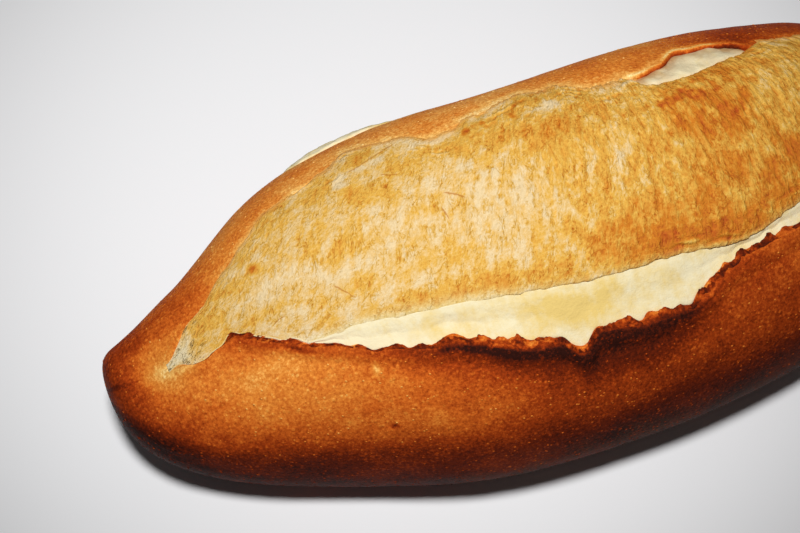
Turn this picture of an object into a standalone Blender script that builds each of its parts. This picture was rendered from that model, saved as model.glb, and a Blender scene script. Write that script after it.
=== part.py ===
"""A bolillo roll: a spindle of white bread, cut once along its top and torn wide open by the oven.

The loaf lies along X on a flat base at z = 0. Y runs from its front to its rear, and +Z is up.
Each cross-section is drawn round the loaf's long axis, and an angle says where on it a line of the
crust runs: 0 is the front, 90 the top, 180 the rear and 270 the base. Sizes are in metres and
angles in degrees.
"""
import math

import bpy

# Overall sizes
LENGTH = 0.166
SIDE_REACH = 0.039          # nominal half width, before the fullness of the front and the rear
AXIS_HEIGHT = 0.023         # height of the long axis at the middle of the loaf
TIP_HEIGHT = 0.0195         # height of the long axis at both tips
CROWN_RISE = 0.033          # nominal rise of the top above the axis
TIP_DRIFT = 0.0044          # the left tip leans this far to the rear
SIDE_SHIFT = 0.00315        # brings the loaf's box to the middle of Y

# Fullness of the loaf at even stations from the left tip to the right, beyond plain round ends
FRONT_FULLNESS = (1.28, 1.03, 0.88, 0.86, 0.96, 0.99, 1.02, 1.04, 0.93, 0.85, 1.00)
REAR_FULLNESS = (1.27, 0.64, 0.62, 0.84, 0.86, 0.76, 0.79, 0.87, 1.00, 0.74, 0.95)
TOP_FULLNESS = (1.39, 0.77, 0.73, 0.85, 0.87, 0.94, 1.00, 1.04, 1.03, 0.86, 1.10)
ROUNDNESS = 2.25            # power of the superellipse that a section follows
TIP_HEIGHT_POWER = 1.09     # how soon the axis drops towards the tips

# The flat base: the underside would reach below z = 0, and is pressed flat with a soft edge
BASE_SINK = 0.004
BASE_EDGE = 0.003
BELLY_SPREAD = 1.22
BELLY_POWER = 0.89

# The cut: it opens at these places along X, and its lines are given at even stations between them
CUT_FROM, CUT_TO = -0.0735, 0.0735
FRONT_LIP = (75.5, 78.0, 62.5, 55.5, 51.3, 44.7, 42.0, 40.2, 48.6, 51.5, 54.0, 66.0, 84.0)
CREASE_GAP = (1.5, 1.5, 5.0, 10.0, 12.0, 15.0, 14.5, 14.8, 3.6, 5.0, 6.0, 3.0, 1.5)
REAR_LIP = (79.0, 110.0, 118.5, 120.5, 121.0, 114.0, 118.5, 106.5, 109.0, 113.0, 111.0, 112.0, 88.0)
CUT_FADE = 0.007            # the cut's relief grows from nothing over this length at each end
LEAST_GAP = 1.4             # least angle between two lines of the cut

# Torn edges of the lips: waves (length, height in degrees), and single tears
LIP_WAVES = ((0.0031, 0.35), (0.0047, 0.45), (0.0083, 0.35), (0.0171, 0.40))
REAR_WAVES = ((0.0056, 0.50), (0.0097, 0.70), (0.0213, 0.50))
LIP_TEARS = (               # place along X, half width, change of angle
    (-0.0670, 0.0030, -3.6),
    (-0.0602, 0.0018, 2.0),
    (-0.0287, 0.0028, 1.6),
    (-0.0087, 0.0021, -5.6),
    (0.0173, 0.0039, 3.2),
)
REAR_TEARS = (
    (-0.0310, 0.0030, 3.4),
    (-0.0175, 0.0040, -4.6),
    (0.0072, 0.0030, 5.2),
    (0.0415, 0.0040, -3.2),
)

# Relief of the cut
LIP_CURL = 0.0007           # the front crust's torn edge stands this proud
REAR_CURL = 0.0002          # the rear crust lies almost level with the bloom
CRUMB_DEPTH = 0.0024        # bare crumb lies this deep under the front lip
CREASE_DEPTH = 0.0015       # and this deep where it meets the golden bloom
BLOOM_EDGE = 0.0004
REAR_DEPTH = 0.0005
LIP_ROLL = 5.0              # the crust starts to curl up this many degrees before its edge

# A pocket of bare crumb under the rear lip
POCKET_FROM, POCKET_TO = 0.017, 0.047
POCKET_WIDTH = 12.0
POCKET_DEPTH = 0.0017

# A pale burst low on the rear side
BURST_FROM, BURST_TO = -0.0405, -0.0125
BURST_ANGLE, BURST_SPREAD = 158.0, 17.0
BURST_RISE = 0.0016

# A pinch that runs on from each end of the cut to the tip
PINCH_ANGLE, PINCH_SPREAD = 76.0, 15.0
PINCH_FROM, PINCH_TO = 0.0705, 0.0815
PINCH_DEPTH = 0.0009

STATIONS = 112              # sections along the loaf
EVENNESS = 0.36             # 0 crowds the sections at the tips, 1 spreads them evenly


def curve(values, share):
    """Smooth curve through evenly spaced values, read at a share of its length from 0 to 1."""
    last = len(values) - 1
    place = min(max(share, 0.0), 1.0) * last
    i = min(int(place), last - 1)
    f = place - i
    a, b = values[i], values[i + 1]
    before = values[i - 1] if i else 2 * a - b
    after = values[i + 2] if i + 2 <= last else 2 * b - a
    bend = 2 * before - 5 * a + 4 * b - after
    twist = 3 * a - before - 3 * b + after
    return 0.5 * (2 * a + (b - before) * f + bend * f ** 2 + twist * f ** 3)


def waves(x, parts):
    """Uneven wave along X: the parts' lengths have no common measure, so it never repeats."""
    return sum(height * math.sin(math.tau * x / length + 1.7 * n)
               for n, (length, height) in enumerate(parts))


def lens(x, start, end):
    """0 outside start and end, rising in a round arch to 1 half way between them."""
    share = (x - start) / (end - start)
    return math.sin(math.pi * share) if 0.0 < share < 1.0 else 0.0


def bump(value, centre, spread):
    """Bell round a centre, 1 there and almost 0 two spreads away."""
    return math.exp(-((value - centre) / spread) ** 2)


def skin(s, angle, raised):
    """Point of the loaf at station s and an angle, raised off its plain outer skin."""
    x = -LENGTH / 2 * math.cos(math.pi * s)
    swell = math.sin(math.pi * s)
    turn = math.radians(angle)
    side, up = math.cos(turn), math.sin(turn)
    fullness = FRONT_FULLNESS if side > 0 else REAR_FULLNESS
    axis = TIP_HEIGHT + (AXIS_HEIGHT - TIP_HEIGHT) * swell ** TIP_HEIGHT_POWER
    power = 2 / ROUNDNESS
    y = -SIDE_REACH * swell * curve(fullness, s) * math.copysign(abs(side) ** power, side)
    if up > 0:
        rise = CROWN_RISE * swell * curve(TOP_FULLNESS, s)
    else:
        rise = (AXIS_HEIGHT + BASE_SINK) * min(swell * BELLY_SPREAD, 1.0) ** BELLY_POWER
    z = rise * math.copysign(abs(up) ** power, up)
    stretch = 1 + raised / max(math.hypot(y, z), 0.004)
    y = y * stretch + TIP_DRIFT * max(math.cos(math.pi * s), 0.0) ** 4 + SIDE_SHIFT
    return x, y, pressed(axis + z * stretch)


def pressed(z):
    """Height after the underside is pressed flat on z = 0, with a soft edge round the flat."""
    if z <= -BASE_EDGE:
        return 0.0
    if z >= BASE_EDGE:
        return z
    return (z + BASE_EDGE) ** 2 / (4 * BASE_EDGE)


def torn(x, wave_parts, tears):
    """How far a lip's edge strays from its even line at a place along X, in degrees."""
    strays = waves(x, wave_parts) + sum(change * bump(x, place, half) for place, half, change in tears)
    return strays * cut_fade(x)


def cut_lines(x):
    """Angles of the front lip, the crease and the rear lip at a place along X."""
    share = (x - CUT_FROM) / (CUT_TO - CUT_FROM)
    strays = torn(x, LIP_WAVES, LIP_TEARS)
    lip = curve(FRONT_LIP, share) + strays
    crease = lip + max(curve(CREASE_GAP, share) - strays, LEAST_GAP)
    rear = curve(REAR_LIP, share) + torn(x, REAR_WAVES, REAR_TEARS)
    return lip, crease, max(rear, crease + 4 * LEAST_GAP)


def cut_fade(x):
    """0 outside the cut, 1 inside it, with a smooth change over CUT_FADE at each end."""
    reach = min(x - CUT_FROM, CUT_TO - x) / CUT_FADE
    reach = min(max(reach, 0.0), 1.0)
    return reach * reach * (3 - 2 * reach)


def side_relief(x, angle):
    """Relief that isn't the cut's: the burst low on the rear, and the pinches at the two tips."""
    burst = BURST_RISE * lens(x, BURST_FROM, BURST_TO) * bump(angle, BURST_ANGLE, BURST_SPREAD)
    pinch = PINCH_DEPTH * lens(abs(x), PINCH_FROM, PINCH_TO) * bump(angle, PINCH_ANGLE, PINCH_SPREAD)
    return burst - pinch


def section_stops(x):
    """Stops round one section: angle, height off the skin, steps to the next stop, and finish."""
    lip, crease, rear = cut_lines(x)
    deep = cut_fade(x)
    pocket = lens(x, POCKET_FROM, POCKET_TO)
    trough = max(rear - POCKET_WIDTH * pocket - LEAST_GAP, crease + 3 * LEAST_GAP)
    bloom_end = max(trough - 4.0, crease + 2 * LEAST_GAP)
    bloom_start = min(crease + 6.0, (crease + bloom_end) / 2)
    floor = REAR_DEPTH + POCKET_DEPTH * pocket
    stops = (
        (-90.0, 0.0, 2, "crust"),
        (-66.0, 0.0, 4, "crust"),
        (-36.0, 0.0, 3, "crust"),
        (-5.0, 0.0, 5, "crust"),
        (lip - LIP_ROLL, 0.0, 2, "crust"),
        (lip, LIP_CURL, 1, "crumb"),
        (lip + 0.5 * LEAST_GAP, -CRUMB_DEPTH, 2, "crumb"),
        (crease - 0.3 * LEAST_GAP, -CREASE_DEPTH, 1, "crumb"),
        (crease, -BLOOM_EDGE, 2, "bloom"),
        (bloom_start, 0.0, 6, "bloom"),
        (bloom_end, 0.0, 2, "bloom"),
        (trough, -floor * (0.5 + 0.3 * pocket), 2, "crumb"),
        (rear, -floor, 1, "crumb"),
        (rear + 0.7 * LEAST_GAP, REAR_CURL, 2, "crust"),
        (rear + LIP_ROLL, 0.0, 6, "crust"),
        (190.0, 0.0, 3, "crust"),
        (216.0, 0.0, 4, "crust"),
        (246.0, 0.0, 2, "crust"),
        (270.0, 0.0, 0, "crust"),
    )
    return [(angle, height * deep, steps, finish) for angle, height, steps, finish in stops]


def section(s):
    """Points round the section at station s, from the base's middle by the front, and finishes."""
    x = -LENGTH / 2 * math.cos(math.pi * s)
    stops = section_stops(x)
    points, finishes = [], []
    for (angle, height, steps, finish), (next_angle, next_height, _, _) in zip(stops, stops[1:]):
        for step in range(steps):
            share = step / steps
            here = angle + (next_angle - angle) * share
            raised = height + (next_height - height) * share + side_relief(x, here)
            points.append(skin(s, here, raised))
            finishes.append(finish)
    return points, finishes


def station(n):
    """Station of section n, from 0 at the left tip to 1 at the right."""
    t = n / STATIONS
    return t + EVENNESS * math.sin(math.tau * t) / math.tau


def material(name, colour, roughness):
    """Plain baked finish."""
    finish = bpy.data.materials.new(name)
    finish.use_nodes = True
    shader = finish.node_tree.nodes["Principled BSDF"]
    shader.inputs["Base Color"].default_value = (*colour, 1.0)
    shader.inputs["Roughness"].default_value = roughness
    shader.inputs["Metallic"].default_value = 0.0
    return finish


def loaf():
    """The whole roll as one closed skin, with its finishes laid in bands round the cut."""
    names = ("crust", "bloom", "crumb")
    vertices = [skin(0.0, 0.0, 0.0)]
    rings, bands = [], []
    for n in range(1, STATIONS):
        points, finishes = section(station(n))
        rings.append(list(range(len(vertices), len(vertices) + len(points))))
        vertices.extend(points)
        bands.append([names.index(finish) for finish in finishes])
    tip = len(vertices)
    vertices.append(skin(1.0, 0.0, 0.0))

    around = len(rings[0])
    faces, slots = [], []
    for k in range(around):
        after = (k + 1) % around
        faces.append((0, rings[0][k], rings[0][after]))
        slots.append(0)
        faces.append((tip, rings[-1][after], rings[-1][k]))
        slots.append(0)
        for ring, next_ring, band in zip(rings, rings[1:], bands):
            faces.append((ring[k], next_ring[k], next_ring[after], ring[after]))
            slots.append(band[k])

    mesh = bpy.data.meshes.new("bolillo")
    mesh.from_pydata(vertices, [], faces)
    mesh.materials.append(material("crust", (0.36, 0.11, 0.025), 0.45))
    mesh.materials.append(material("bloom", (0.78, 0.50, 0.18), 0.70))
    mesh.materials.append(material("crumb", (0.85, 0.74, 0.46), 0.85))
    mesh.polygons.foreach_set("material_index", slots)
    mesh.shade_smooth()
    mesh.set_sharp_from_angle(angle=math.radians(45))
    mesh.update()
    roll = bpy.data.objects.new("bolillo", mesh)
    bpy.context.scene.collection.objects.link(roll)
    return roll


def main():
    for old in list(bpy.data.objects):
        bpy.data.objects.remove(old)
    loaf()


main()
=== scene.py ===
"""A bolillo roll, dressed: thin dark crust with a torn lip, bare white crumb, and a golden fibrous bloom.

The loaf lies along X on z = 0, with +Y to its rear and +Z up. Places on it are given by their X and
by an angle round the long axis: 0 is the front, 90 the top, 180 the rear and 270 the base. Sizes are
in metres and angles in degrees.
"""

import math

import bpy
import numpy as np
from bpy.props import FloatProperty, FloatVectorProperty, IntProperty, PointerProperty
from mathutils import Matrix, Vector


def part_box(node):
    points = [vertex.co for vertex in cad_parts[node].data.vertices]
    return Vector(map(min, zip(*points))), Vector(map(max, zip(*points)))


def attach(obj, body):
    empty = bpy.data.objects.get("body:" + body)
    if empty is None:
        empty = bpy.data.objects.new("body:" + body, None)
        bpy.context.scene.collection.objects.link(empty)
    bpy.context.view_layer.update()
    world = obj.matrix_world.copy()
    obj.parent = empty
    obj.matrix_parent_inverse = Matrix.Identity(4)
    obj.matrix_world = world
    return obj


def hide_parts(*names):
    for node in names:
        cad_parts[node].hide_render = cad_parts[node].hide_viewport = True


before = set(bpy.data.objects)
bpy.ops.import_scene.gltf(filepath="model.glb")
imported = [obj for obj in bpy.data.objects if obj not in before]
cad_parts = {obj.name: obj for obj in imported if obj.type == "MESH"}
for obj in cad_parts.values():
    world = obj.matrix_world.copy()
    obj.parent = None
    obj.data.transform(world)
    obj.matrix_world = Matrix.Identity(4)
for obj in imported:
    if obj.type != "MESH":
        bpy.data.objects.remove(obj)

bl_info = {
    "name": "Bolillo Roll",
    "version": (1, 0, 0),
    "blender": (4, 5, 0),
    "location": "View3D > Sidebar > Bolillo",
    "description": "Builds a crusty bread roll that burst along its cut, with its crust, crumb and bloom",
    "category": "Add Mesh",
}

NODE = "bolillo"
BODY = "root"

# Form of the loaf, in the sizes of a loaf of this length; UNIT brings them to the loaf's own size
LENGTH = 0.166
LOW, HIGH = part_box(NODE)
UNIT = (HIGH.x - LOW.x) / LENGTH
SIDE_REACH = 0.039
AXIS_HEIGHT = 0.023
TIP_HEIGHT = 0.0195
CROWN_RISE = 0.033
TIP_DRIFT = 0.0044
SIDE_SHIFT = 0.00315
FRONT_FULLNESS = (1.28, 1.03, 0.88, 0.86, 0.96, 0.99, 1.02, 1.04, 0.93, 0.85, 1.00)
REAR_FULLNESS = (1.27, 0.64, 0.62, 0.84, 0.86, 0.76, 0.79, 0.87, 1.00, 0.74, 0.95)
TOP_FULLNESS = (1.39, 0.77, 0.73, 0.85, 0.87, 0.94, 1.00, 1.04, 1.03, 0.86, 1.10)
ROUNDNESS = 2.25
TIP_HEIGHT_POWER = 1.09
BASE_SINK = 0.004
BASE_EDGE = 0.003
BELLY_SPREAD = 1.22
BELLY_POWER = 0.89
EVENNESS = 0.36             # 0 crowds the sections at the tips, 1 spreads them evenly

# Lines of the cut, at even stations between its two ends
CUT_FROM, CUT_TO = -0.0735, 0.0735
FRONT_LIP = (75.5, 78.0, 63.8, 55.2, 51.3, 44.7, 42.0, 40.2, 48.6, 51.5, 54.0, 66.0, 84.0)
CREASE_GAP = (1.5, 1.5, 5.0, 10.0, 12.0, 15.0, 14.5, 14.8, 3.6, 5.0, 6.0, 3.0, 1.5)
REAR_LIP = (79.0, 101.0, 116.0, 120.5, 121.0, 114.0, 118.5, 106.5, 109.0, 113.0, 111.0, 112.0, 88.0)
CREASE_FROM = -0.0520       # left of it the bloom reaches the front lip
CUT_FADE = 0.007
LEAST_GAP = 1.4
LIP_WAVES = ((0.0031, 0.35), (0.0047, 0.45), (0.0083, 0.35), (0.0171, 0.40))
REAR_WAVES = ((0.0056, 0.50), (0.0097, 0.70), (0.0213, 0.50))
LIP_TEARS = (               # place along X, half width, change of angle
    (-0.0670, 0.0030, -3.6),
    (-0.0602, 0.0018, 2.0),
    (-0.0420, 0.0030, -1.5),
    (-0.0287, 0.0028, 1.6),
    (-0.0087, 0.0021, -5.6),
    (0.0173, 0.0039, 3.2),
)
REAR_TEARS = (
    (-0.0310, 0.0030, 3.4),
    (-0.0175, 0.0040, -4.6),
    (0.0072, 0.0030, 5.2),
    (0.0415, 0.0040, -1.5),
)
FRINGES = (                 # torn shreds outside the crumb: place along X, half length, width in degrees
    (-0.0572, 0.0046, 2.0),
    (-0.0502, 0.0038, 1.6),
    (-0.0300, 0.0050, 0.8),
    (-0.0175, 0.0062, 2.9),
    (-0.0088, 0.0022, 1.5),
    (0.0020, 0.0045, 1.6),
    (0.0160, 0.0035, 1.6),
    (0.0300, 0.0060, 0.7),
)
FRAYS = (                   # bites and tufts of the shreds: place along X, half width, change of angle
    (-0.0590, 0.0010, 0.9),
    (-0.0530, 0.0013, 0.7),
    (-0.0232, 0.0014, 0.8),
    (-0.0165, 0.0010, 0.9),
    (-0.0118, 0.0012, 0.8),
    (-0.0004, 0.0022, 1.1),
    (0.0040, 0.0011, -1.3),
    (0.0064, 0.0012, 0.8),
)
SCORCHES = (                # burnt ridge of the front lip: place along X, half length, strength
    (-0.0570, 0.0040, 0.05),
    (-0.0520, 0.0018, 0.28),
    (-0.0230, 0.0095, 0.27),
    (-0.0040, 0.0040, 0.20),
    (0.0080, 0.0070, 0.14),
)
POCKET_FROM, POCKET_TO = 0.0160, 0.0465
POCKET_WIDTH = 7.8
POCKET_LIFT = (0.0305, 0.0055, 3.8)     # where the pocket's rim arches up most, half width, degrees

# Where the oven marked the crust
BURST_FROM, BURST_TO = -0.0405, -0.0125
BURST_ANGLE, BURST_SPREAD = 157.0, 10.0
BURST_LEAN = 0.55           # under 1 puts the fullest part nearer its start
PINCH_ANGLE, PINCH_SPREAD = 76.0, 15.0
PINCH_FROM, PINCH_TO = 0.0705, 0.0815
PINCH_DEPTH = 0.0009
CRACKS = (                  # thin cracks of the bloom: place, angle, half length, turn from the long axis
    (-0.0278, 116.8, 0.0042, 13.0),
    (-0.0417, 77.8, 0.0018, -53.0),
    (-0.0185, 91.1, 0.0014, -34.0),
    (-0.0212, 88.0, 0.0008, -79.0),
    (-0.0265, 106.1, 0.0013, -34.0),
    (-0.0530, 77.1, 0.0009, 13.0),
    (0.0199, 74.2, 0.0008, -67.0),
)
TOAST_CLOUDS = (            # soft clouds of the bloom: place, angle, half length, half width, change
    (-0.0540, 87.0, 0.0080, 8.0, -0.12),
    (-0.0360, 88.0, 0.0160, 26.0, 0.06),
    (-0.0260, 84.0, 0.0100, 8.0, -0.06),
    (-0.0340, 72.0, 0.0060, 3.0, -0.24),
    (-0.0290, 65.0, 0.0110, 3.5, 0.25),
    (-0.0180, 73.0, 0.0040, 3.5, 0.13),
    (-0.0320, 79.0, 0.0080, 3.0, 0.13),
    (-0.0280, 100.0, 0.0060, 3.5, 0.10),
    (-0.0260, 113.0, 0.0060, 3.5, -0.14),
    (-0.0450, 108.0, 0.0120, 4.0, 0.10),
    (-0.0590, 102.0, 0.0060, 6.0, 0.12),
    (-0.0590, 79.0, 0.0050, 4.0, 0.22),
    (-0.0660, 86.0, 0.0040, 6.0, 0.32),
    (-0.0370, 88.0, 0.0050, 5.0, 0.12),
    (-0.0180, 79.0, 0.0050, 4.0, 0.12),
    (-0.0180, 101.0, 0.0040, 4.0, -0.14),
    (-0.0620, 96.0, 0.0060, 4.0, 0.12),
    (-0.0500, 86.0, 0.0040, 4.0, -0.10),
    (0.0390, 88.0, 0.0050, 5.0, -0.16),
    (-0.0100, 84.0, 0.0060, 9.0, -0.16),
    (-0.0260, 104.0, 0.0120, 5.0, 0.10),
    (-0.0100, 107.0, 0.0060, 5.0, 0.06),
    (-0.0010, 100.0, 0.0050, 5.0, 0.32),
    (-0.0010, 87.0, 0.0040, 5.0, 0.15),
    (0.0040, 80.0, 0.0060, 6.0, 0.12),
    (0.0110, 63.0, 0.0110, 9.0, 0.50),
    (0.0130, 111.0, 0.0050, 6.0, -0.16),
    (0.0060, 71.0, 0.0050, 4.0, 0.10),
    (-0.0020, 79.0, 0.0040, 4.0, -0.10),
    (-0.0100, 94.0, 0.0050, 6.0, -0.07),
    (0.0220, 57.0, 0.0060, 3.5, 0.25),
    (0.0390, 71.0, 0.0050, 4.0, 0.35),
    (0.0300, 82.0, 0.0040, 5.0, 0.10),
    (0.0280, 70.0, 0.0130, 12.0, 0.26),
    (0.0290, 87.0, 0.0070, 6.0, 0.34),
    (0.0360, 97.0, 0.0100, 6.0, 0.12),
)
TOAST_SPOTS = (             # ragged spots of the bloom: place, angle, half length, half width, change
    (-0.0538, 98.4, 0.0009, 1.9, 0.75),
    (-0.0345, 107.0, 0.0020, 2.2, 0.34),
    (-0.0345, 112.5, 0.0016, 3.6, -0.50),
    (-0.0290, 114.6, 0.0034, 1.3, -0.55),
    (-0.0165, 112.5, 0.0030, 2.0, -0.50),
    (0.0036, 108.0, 0.0034, 2.6, -0.50),
)

BAKE_CLOUDS = (             # soft clouds of the front crust: place, angle, half length, half width, change
    (-0.0718, 74.8, 0.0076, 3.8, -0.26),
    (-0.0680, 46.0, 0.0060, 13.0, 0.08),
    (-0.0580, 60.0, 0.0080, 8.0, -0.18),
    (-0.0540, 48.0, 0.0160, 14.0, -0.055),
    (-0.0380, 24.0, 0.0200, 12.0, -0.17),
    (-0.0300, 33.0, 0.0090, 7.0, 0.06),
    (-0.0040, 33.0, 0.0190, 11.0, 0.13),
    (0.0300, 37.0, 0.0100, 9.0, 0.06),
)
FLAWS = (                   # scars and pits of the crust: place, angle, half length, half width, change
    (-0.0414, 48.6, 0.0006, 2.6, -0.30),
    (-0.0489, 49.0, 0.0009, 0.7, -0.16),
    (-0.0411, 23.9, 0.0006, 0.7, 0.45),
    (-0.0782, 77.0, 0.0011, 0.8, 0.10),
    (0.0060, 24.0, 0.0008, 0.6, -0.18),
)

# Colours and fine marks of the finishes
BAKED_COLOURS = (           # how far the crust is baked, and its colour on a screen
    (0.00, (0.965, 0.850, 0.590)),
    (0.16, (0.930, 0.700, 0.365)),
    (0.32, (0.870, 0.525, 0.200)),
    (0.48, (0.785, 0.377, 0.118)),
    (0.64, (0.628, 0.238, 0.070)),
    (0.80, (0.430, 0.145, 0.052)),
    (1.00, (0.190, 0.085, 0.065)),
)
# Painted light and shade on the bloom's folds and wrinkles: crests painted paler, hollows darker.
FOLD_PAINTED_LIGHT = 900.0         # how much paler each metre of a fold's or wrinkle's height makes the bloom
CRACK_WIDTH = 0.17          # half width of the bloom's cracks, in millimetres
BRIGHT_FROM = 0.86          # share of the blisters that are smaller than the ones that stayed bright
MEAN_RADIUS = 0.032         # turns an angle into a length round the loaf
FIBRE_LEAN = 0.45, 0.05     # how far the bloom's fibres drift along the loaf as they cross it: left, right
FIBRE_PIVOT = 87.0          # angle about which they lean
FIBRE_BEND = 30.0           # how sharply those of the right half bend away past it

# How finely the pieces are made, and how they meet
CRUST_SECTIONS, SHRED_SECTIONS, CRUMB_SECTIONS, BLOOM_SECTIONS = 490, 1300, 430, 680
BURST_SECTIONS, BURST_AROUND = 92, 72
DROP_POINTS = 12            # points of the ball that each blister starts from
END_SINK, CRUMB_END_SINK = 0.0004, 0.0006   # depth of the hidden ends of the shreds, bloom and crumb
END_SHUT = 0.05             # crumb and bloom start where the cut has opened this share
REAR_FROM = 95.0            # angle past which the crust is the rear's
LEAST_RADIUS = 0.004        # a raised point stands off the skin as if it were at least this far out

# Stage
FLOOR_REACH = 3.0
SENSOR_WIDTH = 36.0         # of the camera, in millimetres

# Kinds of socket
VALUE, WHOLE, VECTOR, COLOUR, GEOMETRY = (
    'NodeSocketFloat', 'NodeSocketInt', 'NodeSocketVector', 'NodeSocketColor', 'NodeSocketGeometry')


class LoafSizes(bpy.types.PropertyGroup):
    """Relief of the loaf, in the sizes of a loaf of 166 mm."""
    lip_curl: FloatProperty(
        name="Lip curl", description="How far the front crust's burnt ridge stands proud",
        default=0.0007, unit='LENGTH')
    rim_curl: FloatProperty(
        name="Rim curl", description="How far the rear crust stands proud along the pocket",
        default=0.0003, unit='LENGTH')
    crumb_depth: FloatProperty(
        name="Crumb depth", description="Depth of the bare crumb under the front lip",
        default=0.0013, unit='LENGTH')
    crease_depth: FloatProperty(
        name="Crease depth", description="Depth of the bare crumb where the bloom overhangs it",
        default=0.0008, unit='LENGTH')
    pocket_depth: FloatProperty(
        name="Pocket depth", description="Depth of the bare crumb under the rear lip",
        default=0.0005, unit='LENGTH')
    burst_rise: FloatProperty(
        name="Burst rise", description="How far the side burst swells out of the rear",
        default=0.0010, unit='LENGTH')
    cut_floor: FloatProperty(
        name="Cut floor", description="Depth of the crust's hidden floor under the crumb",
        default=0.0060, unit='LENGTH')
    fibre_height: FloatProperty(
        name="Fibre height", description="Relief of the bloom's torn fibres",
        default=0.00036, unit='LENGTH')
    fibre_width: FloatProperty(
        name="Fibre width", description="Width of one fibre of the bloom",
        default=0.0008, unit='LENGTH')
    fibre_length: FloatProperty(
        name="Fibre length", description="Length of one fibre across the loaf",
        default=0.0024, unit='LENGTH')
    blister_density: FloatProperty(
        name="Blister density", description="Blisters on each square metre of crust",
        default=900000.0, min=0.0)
    blister_radius: FloatProperty(
        name="Blister radius", description="Radius of a middling blister",
        default=0.00011, unit='LENGTH')
    seed: IntProperty(name="Seed", description="Seed of everything scattered", default=7, min=0)


class LoafColours(bpy.types.PropertyGroup):
    """Colours of the loaf, as they look on a screen."""
    bloom_gold: FloatVectorProperty(
        name="Bloom gold", description="Middle colour of the bloom", subtype='COLOR_GAMMA',
        default=(0.868, 0.672, 0.286))
    bloom_cream: FloatVectorProperty(
        name="Bloom cream", description="Palest patches of the bloom", subtype='COLOR_GAMMA',
        default=(0.888, 0.785, 0.600))
    bloom_toast: FloatVectorProperty(
        name="Bloom toast", description="Toasted clouds and veins of the bloom", subtype='COLOR_GAMMA',
        default=(0.800, 0.485, 0.130))
    crumb_white: FloatVectorProperty(
        name="Crumb white", description="Bare crumb", subtype='COLOR_GAMMA',
        default=(0.910, 0.860, 0.710))
    crumb_yellow: FloatVectorProperty(
        name="Crumb yellow", description="Yellow patches of the bare crumb", subtype='COLOR_GAMMA',
        default=(0.880, 0.762, 0.455))
    # Painted shade: the colour that the pocket's crumb is darkened towards under the rear rim.
    crumb_painted_shade: FloatVectorProperty(
        name="Crumb shade", description="Bare crumb in the pocket, under its rim", subtype='COLOR_GAMMA',
        default=(0.72, 0.57, 0.39))
    crack: FloatVectorProperty(
        name="Crack", description="Thin cracks of the bloom", subtype='COLOR_GAMMA',
        default=(0.70, 0.42, 0.12))
    pore: FloatVectorProperty(
        name="Pore", description="Pores at the cut's narrow end", subtype='COLOR_GAMMA',
        default=(0.52, 0.40, 0.27))
    flour: FloatVectorProperty(
        name="Flour", description="Flour on the crust's foot", subtype='COLOR_GAMMA',
        default=(0.53, 0.43, 0.35))
    floor: FloatVectorProperty(
        name="Floor", description="Studio floor", subtype='COLOR_GAMMA', default=(0.93, 0.93, 0.935))


class StageSettings(bpy.types.PropertyGroup):
    """Camera and lights."""
    azimuth: FloatProperty(
        name="Azimuth", description="Camera's turn round the loaf, 0 looks along +Y",
        default=math.radians(-22.43), subtype='ANGLE')
    elevation: FloatProperty(
        name="Elevation", description="Camera's angle above the floor",
        default=math.radians(58.0), subtype='ANGLE')
    distance: FloatProperty(
        name="Distance", description="From the camera to the point it looks at",
        default=0.340, unit='LENGTH')
    lens: FloatProperty(name="Lens", description="Focal length in millimetres", default=82.74)
    aim: FloatVectorProperty(
        name="Aim", description="Point that the camera looks at", subtype='XYZ',
        default=(-0.0250, 0.01221, 0.020), unit='LENGTH')
    key_power: FloatProperty(name="Key power", description="Power of the key light in watts", default=16.4)
    key_radius: FloatProperty(
        name="Key radius", description="Radius of the key light's lamp", default=0.040, unit='LENGTH')
    key_distance: FloatProperty(
        name="Key distance", description="From the key light to the point it is aimed at",
        default=0.600, unit='LENGTH')
    key_spread: FloatProperty(
        name="Key spread", description="Full angle of the key light's cone",
        default=math.radians(30.5), subtype='ANGLE')
    key_aim: FloatVectorProperty(
        name="Key aim", description="Point that the key light is aimed at", subtype='XYZ',
        default=(-0.0150, 0.0420, 0.020), unit='LENGTH')
    key_tilt: FloatProperty(
        name="Key tilt", description="Angle of the key light above the camera's line of sight",
        default=math.radians(13.0), subtype='ANGLE')
    fill: FloatProperty(name="Fill", description="Strength of the even studio fill", default=0.045)


def curve(values, share):
    """Smooth curve through evenly spaced values, read at shares of its length from 0 to 1."""
    values = np.asarray(values, float)
    last = len(values) - 1
    place = np.clip(share, 0.0, 1.0) * last
    i = np.minimum(place.astype(int), last - 1)
    f = place - i
    padded = np.concatenate(([2 * values[0] - values[1]], values, [2 * values[-1] - values[-2]]))
    before, a, b, after = padded[i], padded[i + 1], padded[i + 2], padded[i + 3]
    bend = 2 * before - 5 * a + 4 * b - after
    twist = 3 * a - before - 3 * b + after
    return 0.5 * (2 * a + (b - before) * f + bend * f ** 2 + twist * f ** 3)


def waves(x, parts):
    """Uneven wave along X."""
    return sum((height * np.sin(math.tau * x / length + 1.7 * n)
                for n, (length, height) in enumerate(parts)), 0.0 * x)


def lens_arch(x, start, end):
    """0 outside start and end, rising in a round arch to 1 half way between them."""
    share = np.clip((x - start) / (end - start), 0.0, 1.0)
    return np.sin(math.pi * share)


def bump(value, centre, spread):
    """Bell round a centre."""
    return np.exp(-((value - centre) / spread) ** 2)


def mixed(first, second, share):
    """Value between two."""
    return first + (second - first) * share


def ease(share):
    """Smooth step from 0 to 1."""
    share = np.clip(share, 0.0, 1.0)
    return share * share * (3 - 2 * share)


def patches(x, angle, parts):
    """Sum of round patches; a patch is its place, angle, half length, half width and change."""
    return sum(change * bump(x, place_x, along) * bump(angle, turn, across)
               for place_x, turn, along, across, change in parts)


def lattice(i, j, seed):
    """Fixed scatter of values from -1 to 1 on whole-number places."""
    n = (i * 374761393 + j * 668265263 + seed * 974634777) & 0xFFFFFFFF
    n = ((n ^ (n >> 13)) * 1274126177) & 0xFFFFFFFF
    return ((n ^ (n >> 16)) & 0xFFFF) / 32767.5 - 1.0


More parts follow.
